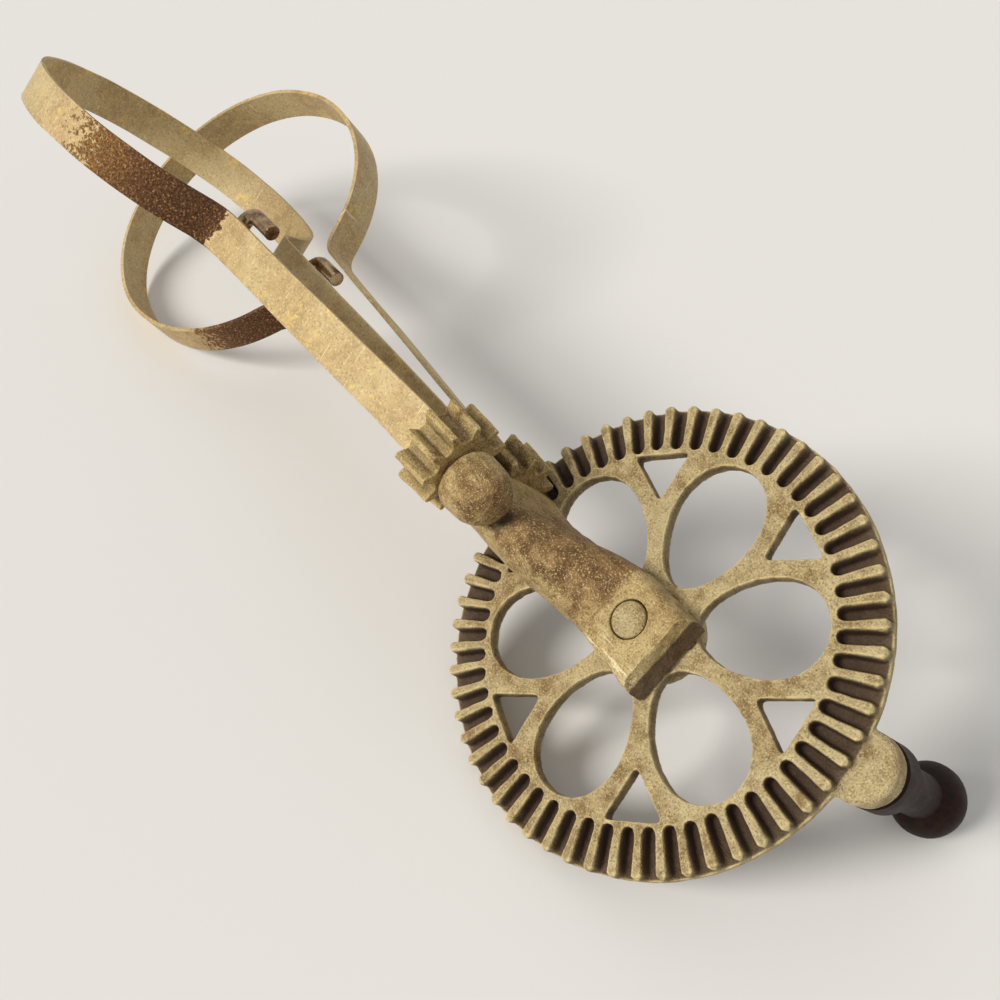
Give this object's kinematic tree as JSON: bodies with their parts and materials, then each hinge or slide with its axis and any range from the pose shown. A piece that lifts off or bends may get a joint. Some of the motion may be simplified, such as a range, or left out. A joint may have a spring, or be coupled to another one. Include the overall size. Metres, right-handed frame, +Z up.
{
  "type": "rotary egg beater",
  "caption": "Hand-cranked rotary egg beater: a cast face gear with a knob drives paired pinions and two interleaved ring dashers.",
  "frame": {"origin": "on the surface that the beater lies on, under the middle of its bounding box", "axes": "+X from the drive wheel towards the dashers, +Z up, the wheel's toothed face up and tipped to +Y"},
  "size_m": [0.2648, 0.0994, 0.0744],
  "materials": {
    "cast_iron": "pitted old cast iron, dry",
    "wheel_iron": "pitted old cast iron with worn edges",
    "pinion_iron": "cast iron, crests worn bright",
    "rivet_steel": "hammered, dull",
    "shaft_wire": "brown patina, smooth",
    "tinned_strip": "tinned steel strip, stained and scratched",
    "knob_wood": "dark, worn smooth"
  },
  "bodies": {
    "frame": {"frame_casting": "cast_iron", "main_rivet": "rivet_steel", "lower_shaft": "shaft_wire", "upper_shaft": "shaft_wire"},
    "wheel": {"drive_wheel": "wheel_iron", "knob_pin": "rivet_steel"},
    "knob": {"crank_knob": "knob_wood"},
    "lower_beater": {"lower_pinion": "pinion_iron", "lower_dasher": "tinned_strip"},
    "upper_beater": {"upper_pinion": "pinion_iron", "upper_dasher": "tinned_strip"}
  },
  "joints": [
    {"name": "wheel_spin", "type": "hinge", "parent": "frame", "child": "wheel", "pos_m": [-0.07547, -0.00375, 0.03398], "axis": [0.0738, 0.637, 0.7674], "continuous": true},
    {"name": "knob_spin", "type": "hinge", "parent": "wheel", "child": "knob", "pos_m": [-0.12188, -0.01783, 0.03684], "axis": [-0.0738, -0.637, -0.7674], "continuous": true},
    {"name": "lower_spin", "type": "hinge", "parent": "frame", "child": "lower_beater", "pos_m": [-0.02706, 0.00172, 0.03599], "axis": [0.9954, 0, -0.0957], "continuous": true},
    {"name": "upper_spin", "type": "hinge", "parent": "frame", "child": "upper_beater", "pos_m": [-0.02564, 0.01395, 0.05072], "axis": [0.9981, 0.0389, -0.0487], "continuous": true}
  ],
  "couplings": [
    {"joint": "lower_spin", "follows": "wheel_spin", "ratio": 5.1818},
    {"joint": "upper_spin", "follows": "wheel_spin", "ratio": -5.1818}
  ]
}
